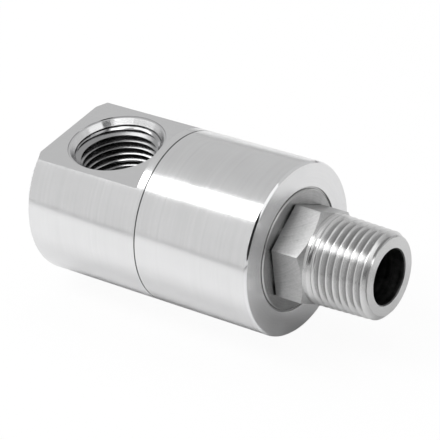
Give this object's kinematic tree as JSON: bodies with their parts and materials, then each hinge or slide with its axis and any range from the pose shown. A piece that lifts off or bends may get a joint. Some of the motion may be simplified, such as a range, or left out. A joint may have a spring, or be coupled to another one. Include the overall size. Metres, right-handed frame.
{
  "type": "hydraulic rotary union",
  "caption": "Right-angle hydraulic rotary union: a round two-part steel housing with a threaded side port and a hexagonal rotor with a taper-threaded nose.",
  "frame": {"origin": "on the rotation axis, at the plane that a hand-tight fitting reaches on the nose's taper thread", "axes": "+X along the rotation axis, out of the rotor's nose; +Z along the side port, out of its mouth; +Y across"},
  "size_m": [0.09, 0.042, 0.042],
  "materials": {
    "housing_steel": "bright fine-turned stainless steel, nearly polished",
    "rotor_steel": "satin stainless steel with ground hexagon flats and a bright cut thread",
    "shield_steel": "face-turned stainless steel with fine rings and a bright rim",
    "bearing_steel": "ground bearing steel",
    "ball_steel": "polished steel balls",
    "cage_brass": "machined brass",
    "spring_steel": "rolled spring steel, dull",
    "seat_carbide": "lapped silicon carbide, dark grey",
    "ring_graphite": "lapped carbon graphite, soft black sheen",
    "seal_rubber": "black fluorocarbon rubber",
    "backup_ptfe": "off-white PTFE"
  },
  "bodies": {
    "housing": {"rear_housing": "housing_steel", "front_housing": "housing_steel", "housing_gasket": "seal_rubber", "bearing_outer_ring": "bearing_steel", "front_dust_seal": "seal_rubber", "rear_dust_seal": "seal_rubber", "anti_rotation_keys": "bearing_steel", "seal_packing": "seal_rubber", "backup_ring": "backup_ptfe", "spring_washer": "spring_steel", "wave_spring": "spring_steel"},
    "rotor": {"rotor": "rotor_steel", "front_shield": "shield_steel", "bearing_inner_ring": "bearing_steel", "shaft_circlip": "spring_steel", "rotating_seat": "seat_carbide"},
    "front_balls": {"front_ball_row": "ball_steel", "front_cage": "cage_brass"},
    "rear_balls": {"rear_ball_row": "ball_steel", "rear_cage": "cage_brass"},
    "floating_seal": {"floating_ring": "ring_graphite"}
  },
  "joints": [
    {"name": "rotor_spin", "type": "hinge", "parent": "housing", "child": "rotor", "pos_m": [0, 0, 0], "axis": [1, 0, 0], "continuous": true},
    {"name": "front_balls_roll", "type": "hinge", "parent": "housing", "child": "front_balls", "pos_m": [-0.02232, 0, 0], "axis": [1, 0, 0], "continuous": true},
    {"name": "rear_balls_roll", "type": "hinge", "parent": "housing", "child": "rear_balls", "pos_m": [-0.02632, 0, 0], "axis": [1, 0, 0], "continuous": true},
    {"name": "seal_float", "type": "slide", "parent": "housing", "child": "floating_seal", "axis": [-1, 0, 0], "range_m": [0, 0.0006], "stiffness_N_per_m": 200, "springref_m": -0.001, "deforming": ["wave_spring"]}
  ],
  "couplings": [
    {"joint": "front_balls_roll", "follows": "rotor_spin", "ratio": 0.439},
    {"joint": "rear_balls_roll", "follows": "rotor_spin", "ratio": 0.439}
  ]
}
